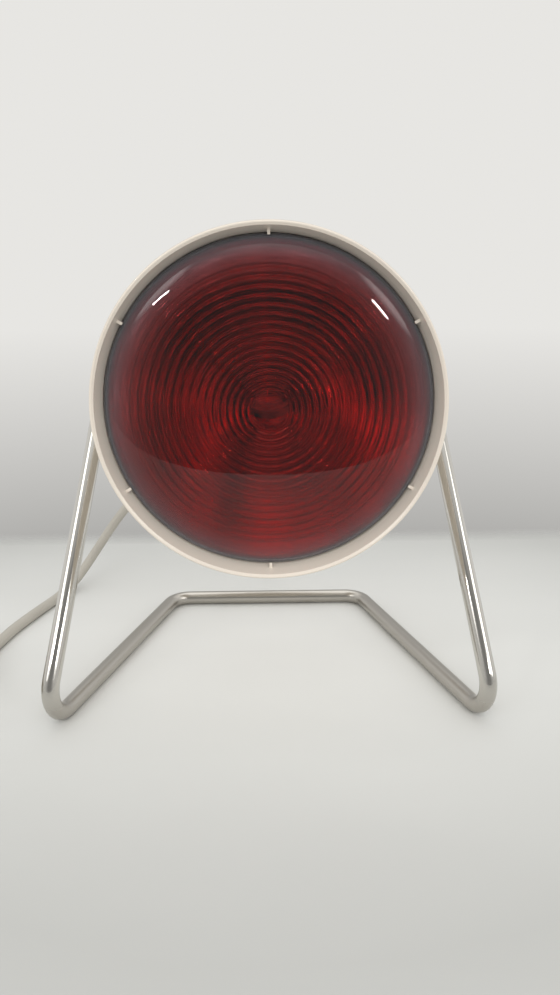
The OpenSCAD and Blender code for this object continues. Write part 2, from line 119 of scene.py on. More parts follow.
def finish_mesh(name, bm, crease=35):
    """A smooth-shaded object from bm, with edges sharper than crease degrees kept sharp."""
    bmesh.ops.recalc_face_normals(bm, faces=bm.faces)
    mesh = bpy.data.meshes.new(name)
    bm.to_mesh(mesh)
    bm.free()
    mesh.shade_smooth()
    mesh.set_sharp_from_angle(angle=math.radians(crease))
    piece = bpy.data.objects.new(name, mesh)
    bpy.context.scene.collection.objects.link(piece)
    return piece


def grid_faces(bm, rows, around=True, along=False, uv_points=None):
    """Quads between rows of vertices; around closes each row, along joins the last row to the first."""
    uv = bm.loops.layers.uv.verify()
    count = len(rows[0])
    row_pairs = len(rows) if along else len(rows) - 1
    columns = count if around else count - 1
    for i in range(row_pairs):
        for k in range(columns):
            corners = [(i, k), (i, k + 1), (i + 1, k + 1), (i + 1, k)]
            found = [rows[a % len(rows)][b % count] for a, b in corners]
            if len(set(found)) < 3:
                continue
            face = bm.faces.new([v for n, v in enumerate(found) if v not in found[:n]])
            if uv_points and len(face.loops) == 4:
                for loop, (a, b) in zip(face.loops, corners):
                    loop[uv].uv = uv_points(a, b)


def lamp_place(x, s, z):
    """A point beside the lamp's axis at station s."""
    return Vector((x, RIM_Y + s, AXIS_Z + z))


def lathe(name, profile, segments=128, closed=True, place=lamp_place, crease=35):
    """Turns a profile of (radius, station) points about the axis that place gives."""
    bm = bmesh.new()
    rows = []
    for radius, station in profile:
        if radius < 1e-7:
            rows.append([bm.verts.new(place(0, station, 0))] * segments)
            continue
        turns = [2 * math.pi * k / segments for k in range(segments)]
        rows.append([bm.verts.new(place(radius * math.cos(t), station, radius * math.sin(t))) for t in turns])
    grid_faces(bm, rows, along=closed)
    return finish_mesh(name, bm, crease)


def smooth_line(points, steps):
    """Catmull-Rom curve through the points, with steps pieces between each two."""
    line = []
    for i in range(len(points) - 1):
        a, b = points[max(i - 1, 0)], points[i]
        c, d = points[i + 1], points[min(i + 2, len(points) - 1)]
        for k in range(steps):
            t = k / steps
            linear = 2 * b + (c - a) * t
            square = (2 * a - 5 * b + 4 * c - d) * t * t
            cube = (3 * b - a - 3 * c + d) * t**3
            line.append(0.5 * (linear + square + cube))
    return line + [points[-1]]


def sweep(name, line, radius, sides, end_round=0.0):
    """A round tube along line, with its ends rounded off by end_round."""
    bm = bmesh.new()
    count = len(line)
    lengths = [0.0]
    for i in range(1, count):
        lengths.append(lengths[-1] + (line[i] - line[i - 1]).length)
    normal = None
    rows = []
    for i in range(count):
        before, after = line[max(i - 1, 0)], line[min(i + 1, count - 1)]
        ahead = (after - before).normalized()
        if normal is None:
            normal = ahead.cross(Vector((0, 0, 1)) if abs(ahead.z) < 0.9 else Vector((1, 0, 0)))
        normal = (normal - ahead * normal.dot(ahead)).normalized()
        side = ahead.cross(normal)
        turns = [2 * math.pi * k / sides for k in range(sides)]
        spokes = [normal * math.cos(t) + side * math.sin(t) for t in turns]
        rows.append([bm.verts.new(line[i] + spoke * radius) for spoke in spokes])
    around = 2 * math.pi * radius
    grid_faces(bm, rows, uv_points=lambda a, b: (lengths[a], around * b / sides))
    for row, end, back in ((rows[0], line[0], line[1]), (rows[-1], line[-1], line[-2])):
        out = (end - back).normalized()
        for share, push in ((0.93, 0.6), (0.75, 1.0)) if end_round else ():
            inner = [bm.verts.new(end + (v.co - end) * share + out * end_round * push) for v in row]
            grid_faces(bm, [row, inner])
            row = inner
        bm.faces.new(row)
    return finish_mesh(name, bm)


def put(piece, body, slot, material, *nodes):
    """Gives a piece its material and its body and hides the CAD nodes that it stands for; slot is not used.
    """
    piece.data.materials.clear()
    piece.data.materials.append(material)
    if nodes:
        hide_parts(*nodes)
    if body:
        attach(piece, body)
    return piece


# ---------------------------------------------------------------- material helpers


def new_material(name, **sockets):
    """An empty Principled material with its uniform values set on the shader."""
    material = bpy.data.materials.new(name)
    material.use_nodes = True
    shader = material.node_tree.nodes["Principled BSDF"]
    for key, value in sockets.items():
        socket = shader.inputs[key.replace("_", " ")]
        socket.default_value = (*value, 1) if isinstance(value, tuple) else value
    return material, material.node_tree, shader


def add_node(tree, kind, **values):
    """A node of that kind with its inputs or properties set by name."""
    node = tree.nodes.new(kind)
    for key, value in values.items():
        if hasattr(node, key):
            setattr(node, key, value)
        else:
            node.inputs[key.replace("_", " ")].default_value = value
    return node


def coordinates(tree, stretch=(1, 1, 1), source="Object"):
    """Texture coordinates of a piece, stretched."""
    texture = tree.nodes.new("ShaderNodeTexCoord")
    mapping = add_node(tree, "ShaderNodeMapping", Scale=stretch)
    tree.links.new(texture.outputs[source], mapping.inputs["Vector"])
    return mapping.outputs["Vector"]


def noise(tree, vector, scale, detail=3.0, roughness=0.5):
    """Noise between 0 and 1 along the given coordinates."""
    node = add_node(tree, "ShaderNodeTexNoise", Scale=scale, Detail=detail, Roughness=roughness)
    tree.links.new(vector, node.inputs["Vector"])
    return node.outputs["Fac"]


def spread_over(tree, value, low, high, start=0.3, end=0.7):
    """Value, which mostly lies between start and end, spread over low to high."""
    node = add_node(tree, "ShaderNodeMapRange")
    for key, number in (("From Min", start), ("From Max", end), ("To Min", low), ("To Max", high)):
        node.inputs[key].default_value = number
    tree.links.new(value, node.inputs["Value"])
    return node.outputs["Result"]


def scaled(tree, value, factor, plus=0.0):
    """Value times factor plus a constant."""
    node = add_node(tree, "ShaderNodeMath", operation="MULTIPLY_ADD")
    tree.links.new(value, node.inputs[0])
    node.inputs[1].default_value = factor
    node.inputs[2].default_value = plus
    return node.outputs[0]


def summed(tree, first, second):
    """Two values added."""
    node = add_node(tree, "ShaderNodeMath", operation="ADD")
    tree.links.new(first, node.inputs[0])
    tree.links.new(second, node.inputs[1])
    return node.outputs[0]


# Places of the colour sockets on a Mix node, whose names are shared by its other kinds of socket
MIX_FIRST, MIX_SECOND, MIX_COLOUR = 6, 7, 2


def colour_between(tree, value, first, second):
    """A colour from first to second as value goes from 0 to 1."""
    node = add_node(tree, "ShaderNodeMix", data_type="RGBA")
    node.inputs[MIX_FIRST].default_value = (*first, 1)
    node.inputs[MIX_SECOND].default_value = (*second, 1)
    tree.links.new(value, node.inputs["Factor"])
    return node.outputs[MIX_COLOUR]


def bump(tree, shader, height, distance, strength=1.0):
    """Adds height as bump, with distance as its full depth in metres."""
    node = add_node(tree, "ShaderNodeBump", Strength=strength, Distance=distance)
    tree.links.new(height, node.inputs["Height"])
    tree.links.new(node.outputs["Normal"], shader.inputs["Normal"])


def sideways_from_axis(tree):
    """The vector from the lamp's axis to the shaded point, at right angles to the axis."""
    centred = add_node(tree, "ShaderNodeMapping", Location=(0, 0, -AXIS_Z))
    tree.links.new(tree.nodes.new("ShaderNodeTexCoord").outputs["Object"], centred.inputs["Vector"])
    flat = add_node(tree, "ShaderNodeVectorMath", operation="MULTIPLY")
    flat.inputs[1].default_value = (1, 0, 1)
    tree.links.new(centred.outputs["Vector"], flat.inputs[0])
    return flat.outputs["Vector"]


def closeness(tree, vector, direction):
    """Cosine of the angle between a unit vector and a fixed direction."""
    node = add_node(tree, "ShaderNodeVectorMath", operation="DOT_PRODUCT")
    tree.links.new(vector, node.inputs[0])
    node.inputs[1].default_value = direction
    return node.outputs["Value"]


def shade(colour, factor):
    """The colour made lighter or darker."""
    return tuple(min(1.0, c * factor) for c in colour)


def plain(name, colour, roughness, vary=0.05, patch=40, grain=900, depth=0.02 * MM, **sockets):
    """A moulded, painted or cast surface: soft patches of tone and gloss, and a fine grain."""
    material, tree, shader = new_material(name, **sockets)
    where = coordinates(tree)
    soft = noise(tree, where, patch)
    fine = noise(tree, where, grain, detail=2.0)
    blend = spread_over(tree, soft, 0, 1)
    tone = colour_between(tree, blend, shade(colour, 1 - vary), shade(colour, 1 + vary))
    tree.links.new(tone, shader.inputs["Base Color"])
    gloss = spread_over(tree, fine, roughness * 0.85, roughness * 1.15)
    tree.links.new(gloss, shader.inputs["Roughness"])
    bump(tree, shader, fine, depth)
    return material


SCRATCH_SCALE, SCRATCH_DEPTH, METAL_VARY = 1500, 0.004 * MM, 0.04


def metal(name, colour, roughness, stretch=(1, 1, 1)):
    """A metal with fine marks and soft clouds of tone."""
    material, tree, shader = new_material(name, Metallic=1.0)
    marks = noise(tree, coordinates(tree, stretch), SCRATCH_SCALE, detail=4.0, roughness=0.6)
    clouds = noise(tree, coordinates(tree), 55, detail=3.0)
    blend = spread_over(tree, clouds, 0, 1)
    tone = colour_between(tree, blend, shade(colour, 1 - METAL_VARY), shade(colour, 1 + METAL_VARY))
    tree.links.new(tone, shader.inputs["Base Color"])
    gloss = spread_over(tree, marks, roughness * 0.7, roughness * 1.4)
    tree.links.new(gloss, shader.inputs["Roughness"])
    bump(tree, shader, marks, SCRATCH_DEPTH)
    return material


# ---------------------------------------------------------------- materials

CREAM = (0.745, 0.675, 0.590)
LEAD_BEIGE = (0.465, 0.440, 0.390)

MATERIALS = {
    "cream": plain(
        "cream_enamel", CREAM, 0.34, vary=0.03, patch=18, grain=420, depth=0.03 * MM, Coat_Weight=0.15
    ),
    "lead": plain("lead_pvc", LEAD_BEIGE, 0.48, vary=0.05, patch=30, grain=1400, depth=0.03 * MM),
    "relief": plain("relief_pvc", (0.60, 0.56, 0.49), 0.5, vary=0.04, depth=0.03 * MM),
    "plug": plain("plug_pvc", (0.66, 0.62, 0.55), 0.42, vary=0.04, patch=25, depth=0.03 * MM),
    "bush": plain("bush_nylon", (0.52, 0.49, 0.43), 0.45, vary=0.05, depth=0.02 * MM),
    "porcelain": plain("porcelain", (0.83, 0.81, 0.75), 0.16, vary=0.03, patch=30, Coat_Weight=0.5),
    "brown": plain("wire_brown", (0.10, 0.035, 0.015), 0.4),
    "blue": plain("wire_blue", (0.02, 0.06, 0.25), 0.4),
    "black": plain("black_glass", (0.012, 0.010, 0.012), 0.12),
    "sleeve": plain("sleeve_black", (0.015, 0.015, 0.016), 0.45),
    "steel": metal("zinc_steel", (0.55, 0.56, 0.58), 0.34),
    "plate": metal("zinc_plate", (0.60, 0.61, 0.62), 0.30, stretch=(1, 12, 1)),
    "spring": metal("spring_steel", (0.40, 0.40, 0.42), 0.36),
    "brass": metal("cap_brass", (0.72, 0.54, 0.24), 0.28),
    "nickel_wire": metal("lead_wire", (0.62, 0.60, 0.56), 0.22),
    "pin": metal("pin_nickel", (0.64, 0.61, 0.56), 0.24),
    "tungsten": metal("tungsten", (0.16, 0.15, 0.15), 0.42),
}


def hook_and_loop():
    """Black woven strap with short loops."""
    material, tree, shader = new_material("tie_black", Roughness=0.8, Sheen_Weight=0.3)
    where = coordinates(tree)
    loops = add_node(tree, "ShaderNodeTexVoronoi", Scale=1500.0)
    tree.links.new(where, loops.inputs["Vector"])
    tone = colour_between(tree, loops.outputs["Distance"], (0.008, 0.008, 0.009), (0.03, 0.03, 0.034))
    tree.links.new(tone, shader.inputs["Base Color"])
    bump(tree, shader, loops.outputs["Distance"], 0.25 * MM)
    return material


# The glass's ruby, the grey of a painted sheen towards its edge, and the radii where that painted sheen
# starts and ends
RUBY, PAINTED_SHEEN_GREY = (0.74, 0.060, 0.050), (0.24, 0.25, 0.29)
PAINTED_SHEEN_START, PAINTED_SHEEN_END = 42 * MM, 61 * MM


def ruby_glass():
    """Clear ruby glass, uneven from blowing, turning greyer and less clear towards its edge as a painted
    sheen for the reflection its shoulder shows.
    """
    material, tree, shader = new_material("ruby_glass", Roughness=0.0, IOR=1.50)
    sideways = sideways_from_axis(tree)
    length = add_node(tree, "ShaderNodeVectorMath", operation="LENGTH")
    tree.links.new(sideways, length.inputs[0])
    outer = spread_over(tree, length.outputs["Value"], 0, 1, start=PAINTED_SHEEN_START, end=PAINTED_SHEEN_END)
    painted_sheen = add_node(tree, "ShaderNodeMath", operation="POWER")
    tree.links.new(outer, painted_sheen.inputs[0])
    painted_sheen.inputs[1].default_value = 2
    # Painted sheen: the colour turns grey towards the edge
    tone = colour_between(tree, painted_sheen.outputs[0], RUBY, PAINTED_SHEEN_GREY)
    tree.links.new(tone, shader.inputs["Base Color"])
    clear = spread_over(tree, painted_sheen.outputs[0], 1.0, 0.72, start=0, end=1)
    tree.links.new(clear, shader.inputs["Transmission Weight"])
    slow = noise(tree, coordinates(tree), 28, detail=1.0)
    bump(tree, shader, slow, 0.05 * MM)
    return material


# Sides where the mirror's colour is painted brighter, to place painted bright reflections: direction round
# the lamp's axis and half width in degrees, and share of the full brightness
PAINTED_GLINT_SIDES = ((198, 34, 1.0), (-35, 32, 1.0), (38, 22, 1.0), (90, 32, 0.4), (-95, 24, 0.15))


def silvered_glass():
    """Mirror coating inside the bulb, faintly hammered, its colour painted brighter on some sides than on
    others to place bright reflections.
    """
    material, tree, shader = new_material("silvered_glass", Metallic=1.0, Roughness=0.06)
    sideways = sideways_from_axis(tree)
    outward = add_node(tree, "ShaderNodeVectorMath", operation="NORMALIZE")
    tree.links.new(sideways, outward.inputs[0])
    level = None
    for side, width, share in PAINTED_GLINT_SIDES:
        direction = (math.cos(math.radians(side)), 0, math.sin(math.radians(side)))
        near = closeness(tree, outward.outputs["Vector"], direction)
        painted_glint_lobe = spread_over(tree, near, 0, share, start=math.cos(math.radians(width)), end=1)
        level = painted_glint_lobe if level is None else summed(tree, level, painted_glint_lobe)
    # Painted reflections: the mirror's colour is lighter on the listed sides
    tone = colour_between(tree, level, (0.52, 0.50, 0.50), (1.0, 0.97, 0.97))
    tree.links.new(tone, shader.inputs["Base Color"])
    ticks = noise(tree, coordinates(tree), 330, detail=2.0)
    bump(tree, shader, ticks, 0.10 * MM)
    return material


def clear_glass():
    """Clear drawn glass with faint streaks."""
    material, tree, shader = new_material(
        "clear_glass", Base_Color=(0.93, 0.96, 0.95), Roughness=0.02, IOR=1.5, Transmission_Weight=1.0
    )
    bump(tree, shader, noise(tree, coordinates(tree, (1, 0.1, 1)), 300), 0.02 * MM)
    return material


def dulled_nickel():
    """Nickel-plated rod, lighter and glossier on its uprights and darker and rougher on the runs that lie on
    the table.
    """
    material, tree, shader = new_material("nickel_rod", Metallic=1.0)
    where = tree.nodes.new("ShaderNodeTexCoord").outputs["Object"]
    parts = add_node(tree, "ShaderNodeSeparateXYZ")
    tree.links.new(where, parts.inputs["Vector"])
    low = spread_over(tree, parts.outputs["Z"], 1, 0, start=9 * MM, end=24 * MM)
    clouds = noise(tree, coordinates(tree), 70, detail=4.0)
    # Darker and rougher towards the table, with soft clouds of tone
    low_and_clouds = summed(tree, low, scaled(tree, clouds, 0.35, -0.17))
    tone = colour_between(tree, low_and_clouds, (0.64, 0.62, 0.58), (0.50, 0.475, 0.435))
    tree.links.new(tone, shader.inputs["Base Color"])
    marks = noise(tree, coordinates(tree, (25, 900, 1), "UV"), 4, detail=4.0, roughness=0.6)
    dulled = spread_over(tree, low_and_clouds, 0.12, 0.30, start=0, end=1)
    gloss = summed(tree, dulled, scaled(tree, marks, 0.06, -0.03))
    tree.links.new(gloss, shader.inputs["Roughness"])
    bump(tree, shader, marks, 0.004 * MM)
    return material


MATERIALS["nickel"] = dulled_nickel()
MATERIALS["tie"] = hook_and_loop()
MATERIALS["ruby"] = ruby_glass()
MATERIALS["mirror"] = silvered_glass()
MATERIALS["glass"] = clear_glass()

# ---------------------------------------------------------------- free lead

CORD_D = 6 * MM
# The coil in millimetres: its middle, the radii of its outer and inner turns, the rise from one
# level of turns to the next and the height of the lowest
COIL_X, COIL_Y = -191, 45
OUTER_TURN_R, INNER_TURN_R = 37.05, 30.95
LEVEL_RISE = 6.1
CORD_LOW = 3.1

# Route from the strain relief to the coil and from the coil to the plug, in millimetres from the
# stand's front corners, as in the CAD source
CORD_ROUTE = [
    (0, 204, 123.5), (-1, 211, 123), (-4, 218, 121.5), (-9, 224, 119), (-16, 228.5, 115),
    (-25, 231.5, 109.5), (-36, 232, 102.5), (-48, 230, 94), (-60, 226, 84.5), (-72, 220, 74),
    (-84.5, 213, 62), (-97, 205.5, 48), (-106, 200.5, 36.5), (-114, 195, 25), (-121, 189, 15),
    (-127, 181, 7.5), (-131.5, 170, 4), (-135, 158, 3.1), (-139, 145, 3.1), (-143.5, 130, 3.1),
    (-148, 113, 3.1), (-151, 96, 3.1), (-153, 79, 3.1), (-154, 62, 3.1), (-154, 45, 3.1)
]
TAIL_ROUTE = [
    (-228, 45, 21.4), (-228, 57, 21.4), (-228.5, 69, 20), (-229, 81, 16), (-229.5, 93, 11.5),
    (-230, 104, 8.3), (-230, 114, 6.9)
]

# Stretches of the winding, in degrees from its start, over which the lead crosses to the other
# turn beside it, and over which it climbs to the next level
CROSSINGS = ((260, 360), (820, 920), (1380, 1480), (1980, 2080))
CLIMBS = ((560, 620), (1120, 1180), (1680, 1740))
WINDING = 2340


def eased(value, start, end):
    """0 before start, 1 after end and a smooth step in between."""
    t = min(1.0, max(0.0, (value - start) / (end - start)))
    return t * t * (3 - 2 * t)


def coil_line():
    """The winding, clockwise from above, in millimetres like the routes."""
    line = []
    step = 10
    for turned in range(step, WINDING, step):
        crossed = sum((-1) ** n * eased(turned, *span) for n, span in enumerate(CROSSINGS))
        risen = sum(eased(turned, *span) for span in CLIMBS)
        r = OUTER_TURN_R + (INNER_TURN_R - OUTER_TURN_R) * crossed
        angle = -math.radians(turned)
        x, y = COIL_X + r * math.cos(angle), COIL_Y + r * math.sin(angle)
        line.append((x, y, CORD_LOW + LEVEL_RISE * risen))
    return line


def lead_line():
    """The whole free lead's centreline in the frame's metres."""
    free = smooth_line([bench(p) for p in CORD_ROUTE], 3)
    coiled = [bench(p) for p in coil_line()]
    tail = smooth_line([bench(p) for p in TAIL_ROUTE], 3)
    return free + coiled + tail


flex_line = lead_line()
flex = sweep("flex", flex_line, CORD_D / 2, sides=18)
put(flex, None, "lead_pvc", MATERIALS["lead"], "mains_cord", "cord_coil", "cord_tail")
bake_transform(flex)


PLUG_ROUNDING = 1.2 * MM
RIB_DEPTH, RIB_STEP = 0.35 * MM, 2.4 * MM
# Exponent of the plug's section, between a flat-sided rectangle at 0 and an ellipse at 1
SECTION_POWER = 0.62


def make_plug():
    """Flat two-pin plug: a lofted body with finger grips at its sides."""
    middle = (plug_low + plug_high) / 2
    half_w, half_t = (plug_high.x - plug_low.x) / 2, (plug_high.z - plug_low.z) / 2
    length = plug_high.y - plug_low.y
    bm = bmesh.new()
    rows = []
    sides = 48
    stations = [0, 0.004, 0.02, 0.05] + [0.05 + 0.9 * k / 40 for k in range(1, 41)] + [0.98, 0.996, 1]
    for share in stations:
        widening = eased(share, -0.06, 0.42)
        wide = half_w * (0.42 + 0.58 * widening)
        thick = half_t * (0.86 + 0.14 * widening)
        ends = min(share, 1 - share) * length
        inset = PLUG_ROUNDING - math.sqrt(max(0, PLUG_ROUNDING**2 - max(0, PLUG_ROUNDING - ends) ** 2))
        gripping = eased(share, 0.40, 0.46) * (1 - eased(share, 0.86, 0.92))
        ribs = RIB_DEPTH * gripping * (0.5 + 0.5 * math.cos(2 * math.pi * share * length / RIB_STEP))
        row = []
        for k in range(sides):
            t = 2 * math.pi * k / sides
            c, s = math.cos(t), math.sin(t)
            x = math.copysign(abs(c) ** SECTION_POWER, c) * (wide - inset - ribs * abs(c) ** 3)
            z = math.copysign(abs(s) ** SECTION_POWER, s) * (thick - inset)
            row.append(bm.verts.new((middle.x + x, plug_low.y + share * length, middle.z + z)))
        rows.append(row)
    grid_faces(bm, rows)
    bm.faces.new(rows[0])
    bm.faces.new(rows[-1])
    return put(finish_mesh("plug_shell", bm), "stand", "plug_pvc", MATERIALS["plug"], "plug_body")


def make_boot():
    """Ribbed sleeve where the lead enters the plug."""
    low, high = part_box("plug_boot")
    middle = (low + high) / 2
    big, length = (high.x - low.x) / 2, high.y - low.y

    def place(x, s, z):
        return Vector((middle.x + x, low.y + s, middle.z + z))

    bore = CORD_D / 2 + 0.02 * MM
    profile = [(bore, 0), (CORD_D / 2 + 0.7 * MM, 0)]
    ribs = 6
    for n in range(ribs * 8):
        share = (n + 0.5) / (ribs * 8)
        groove = 0.5 * MM * (0.5 - 0.5 * math.cos(2 * math.pi * share * ribs))
        profile.append((big * (0.74 + 0.26 * share) - groove, share * length))
    profile += [(big, length), (bore, length)]
    boot = lathe("plug_sleeve", profile, segments=40, place=place)
    return put(boot, "stand", "plug_pvc", MATERIALS["plug"], "plug_boot")


def strap_section(low, high, bend):
    """Rounded rectangle in the plane across the coil's turns, as (radial, height) points."""
    corners = ((high[0], high[1], 0), (low[0], high[1], 90), (low[0], low[1], 180), (high[0], low[1], 270))
    points = []
    for x, z, start in corners:
        centre_x = x - bend if x == high[0] else x + bend
        centre_z = z - bend if z == high[1] else z + bend
        for k in range(7):
            t = math.radians(start + 15 * k)
            points.append((centre_x + bend * math.cos(t), centre_z + bend * math.sin(t)))
    return points


def make_tie():
    """Hook-and-loop strap closed round the coil at its front."""
    low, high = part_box("cord_tie")
    edge, lowest, thick = 0.08 * MM, 0.02 * MM, 0.55 * MM
    near, far = (low.y + edge, low.z + lowest), (high.y - edge, high.z - edge)
    outer = strap_section(near, far, 3.6 * MM)
    inner = strap_section([v + thick for v in near], [v - thick for v in far], 3.1 * MM)
    bm = bmesh.new()
    width = high.x - low.x
    # Points round the strap's section, as shares of its width and of its thickness
    outer_side = [(0.0, 0.12), (0.06, 0.0), (0.94, 0.0), (1.0, 0.12)]
    section = outer_side + [(across, 1 - deep) for across, deep in reversed(outer_side)]
    rows = []
    for (oy, oz), (iy, iz) in zip(outer, inner):
        row = []
        for across, deep in section:
            row.append(bm.verts.new((low.x + width * across, oy + (iy - oy) * deep, oz + (iz - oz) * deep)))
        rows.append(row)
    grid_faces(bm, rows, along=True)
    return put(finish_mesh("coil_strap", bm), "stand", "tie_black", MATERIALS["tie"], "cord_tie")


plug_pieces = [make_plug(), make_boot(), frame["nodes"]["plug_pins"], frame["nodes"]["plug_pin_sleeves"]]
strap = make_tie()

# ---------------------------------------------------------------- stand


def bent_line(corners, bend, steps=12):
    """A line through the corners with a round bend at each inner one."""
    line = [corners[0]]
    for before, here, after in zip(corners, corners[1:], corners[2:]):
        into, out = (here - before).normalized(), (after - here).normalized()
        turn = into.angle(out)
        cut = bend * math.tan(turn / 2)
        inwards = (out - into * out.dot(into)).normalized()
        centre = here - into * cut + inwards * bend
        for k in range(steps + 1):
            t = turn * k / steps
            line.append(centre - inwards * bend * math.cos(t) + into * bend * math.sin(t))
    return line + [corners[-1]]


def with_steps(line, longest):
    """The line with its long straights cut into shorter pieces."""
    fine = [line[0]]
    for a, b in zip(line, line[1:]):
        pieces = max(1, math.ceil((b - a).length / longest))
        fine += [a.lerp(b, k / pieces) for k in range(1, pieces + 1)]
    return fine


# Corners of the rod's centreline on the left, in millimetres: its end, the top of the upright, its
# foot and the end of the rear bar
ROD_CORNERS = [(-44, 88.5, 151.5), (-81, 88.5, 151.5), (-102, 0, 4), (-58.5, STAND_DEPTH, 4)]
ROD_BEND = 13 * MM


def make_stand():
    """One bent rod: pivot end, upright, side run, rear bar and back up the other side."""
    right = [(-x, y, z) for x, y, z in reversed(ROD_CORNERS)]
    line = with_steps(bent_line([bench(p) for p in ROD_CORNERS + right], ROD_BEND), 8 * MM)
    rod = sweep("bent_rod", line, ROD_R, sides=40, end_round=0.5 * MM)
    return put(rod, "stand", "nickel_rod", MATERIALS["nickel"], "stand_rod")


make_stand()

# ---------------------------------------------------------------- head


def points_mm(pairs):
    """Profile points given in millimetres, in metres."""
    return [(r * MM, s * MM) for r, s in pairs]


def arc(centre, radius, start, end, steps):
    """Points of an arc, as (radius, station) in millimetres, between two angles in degrees."""
    found = []
    for k in range(steps + 1):
        t = math.radians(start + (end - start) * k / steps)
        found.append((centre[0] + radius * math.cos(t), centre[1] + radius * math.sin(t)))
    return found


RING_MM = RING_R / MM
BELL_R, BELL_START, BELL_LEN, WALL = RING_MM - 0.3, 16.0, 188.0, 2.2
BELL_POWER = 2.2
COVER_START = 150.3
BOSS_OUT = 66.0
RING_CREASE = 40
TAB_OUT, TAB_STATION, TAB_LEN, TAB_THICK = 62.95, 5.9, 2.6, 1.0
TAB_COUNT = 6


def bell_radius(station, inset=0.0):
    """The bell's outer radius at a station, both in millimetres."""
    along = (station - BELL_START) / (BELL_LEN - inset)
    return (BELL_R - inset) * math.sqrt(max(0.0, 1 - max(0.0, along) ** BELL_POWER))


def bell_curve(first, last, inset, steps):
    """Points of the bell's outline from one station to another, closer together towards the back."""
    reach = BELL_LEN - inset
    half_power = BELL_POWER / 2
    turn = [math.asin(min(1.0, ((s - BELL_START) / reach) ** half_power)) for s in (first, last)]
    found = []
    for k in range(steps + 1):
        t = turn[0] + (turn[1] - turn[0]) * k / steps
        s = BELL_START + reach * math.sin(t) ** (1 / half_power)
        found.append((bell_radius(s, inset), s))
    return found


def make_front_ring():
    """Ring round the bulb: a rounded lip, a thin shadow groove behind it and a sloping inner side."""
    outer = RING_MM
    lip = 0.55
    profile = arc((outer - lip - 0.25, lip), lip, 225, 340, 8) + [(outer - 0.22, 1.15), (outer - 0.02, 1.75)]
    profile += [(outer, 2.4), (outer, 15.1)]
    profile += arc((outer - 0.7, 15.1), 0.7, 0, 90, 4)
    profile += [(64.75, 15.8), (64.75, 9.25), (62.75, 9.2), (62.65, 8.9)]
    profile += [(63.15, 7.9), (63.45, 6.9), (64.65, 0.62)]
    return lathe("ring", points_mm(profile), segments=192, crease=RING_CREASE)


def make_tab(turn):
    """Small tab that stands in from the ring's inner side over the bulb's edge."""
    bm = bmesh.new()
    bmesh.ops.create_cube(bm, size=1)
    for v in bm.verts:
        width = 1.3 if v.co.x > 0 else 1.1
        v.co = Vector((TAB_OUT + v.co.x * TAB_LEN, TAB_STATION + v.co.y * TAB_THICK, v.co.z * width))
    bmesh.ops.bevel(bm, geom=bm.edges[:] + bm.verts[:], offset=0.22, segments=3, profile=0.5, affect="EDGES")
    for v in bm.verts:
        r, s, across = v.co * MM
        v.co = Vector((0, RIM_Y + s, AXIS_Z)) + Matrix.Rotation(-turn, 3, "Y") @ Vector((r, 0, across))
    return finish_mesh("tab", bm)


def joined(name, pieces):
    """One object from several."""
    target = pieces[0]
    bm = bmesh.new()
    for piece in pieces:
        bm.from_mesh(piece.data)
    mesh = bpy.data.meshes.new(name)
    bm.to_mesh(mesh)
    bm.free()
    for piece in pieces[1:]:
        bpy.data.objects.remove(piece)
    target.data = mesh
    target.name = name
    mesh.shade_smooth()
    mesh.set_sharp_from_angle(angle=math.radians(RING_CREASE))
    return target


tabs = [make_tab(math.radians(30 + 360 * n / TAB_COUNT)) for n in range(TAB_COUNT)]
ring = joined("ring_with_tabs", [make_front_ring(), *tabs])
put(ring, "head", "cream_enamel", MATERIALS["cream"], "front_ring")


def combined(piece, tool, operation):
    """Applies a boolean between two pieces and removes the second."""
    modifier = piece.modifiers.new("combined", "BOOLEAN")
    modifier.object = tool
    modifier.operation = operation
    modifier.solver = "EXACT"
    bpy.context.view_layer.update()
    shaped = bpy.data.meshes.new_from_object(piece.evaluated_get(bpy.context.evaluated_depsgraph_get()))
    piece.modifiers.clear()
    piece.data = shaped
    bpy.data.objects.remove(tool)
    shaped.shade_smooth()
    shaped.set_sharp_from_angle(angle=math.radians(32))


def pivot_place(side):
    """Places a turned profile about the pivot's axis, its stations running outwards on one side."""
    return lambda x, s, z: Vector((side * s, PIVOT.y + x, PIVOT.z + z))


def make_housing():
    """Bell-shaped shell with a boss at each side for the pivot."""
    outside = [(64.6, 9.3), (64.6, BELL_START - 0.2), (BELL_R - 0.5, BELL_START - 0.1)]
    outside += bell_curve(BELL_START + 0.4, COVER_START - 0.9, 0, 40)
    edge = bell_radius(COVER_START - 0.4)
    outside += [(edge - 0.25, COVER_START - 0.35), (edge - 0.7, COVER_START - 0.15)]
    inside = list(reversed(bell_curve(BELL_START, COVER_START - 0.15, WALL, 20)))
    spigot = [(63.0, BELL_START - 0.5), (63.0, 9.3)]
    shell = lathe("shell", points_mm(outside + inside + spigot), segments=160)
    for side in (-1, 1):
        profile = [(0, 51), (14.6, 51), (14.2, 55), (13.6, 58), (13.2, 60), (13.0, 62)]
        profile += arc((12.0, BOSS_OUT - 1.0), 1.0, 0, 90, 5) + [(0, BOSS_OUT)]
        boss = lathe("boss", points_mm(profile), segments=96, closed=False, place=pivot_place(side))
        combined(shell, boss, "UNION")
        drill = lathe("drill", points_mm([(0, 40), (7, 40), (7, 70), (0, 70)]), 64, False, pivot_place(side))
        combined(shell, drill, "DIFFERENCE")
    return put(shell, "head", "cream_enamel", MATERIALS["cream"], "housing_shell")


make_housing()


BUSH_BORE_R = 4.06


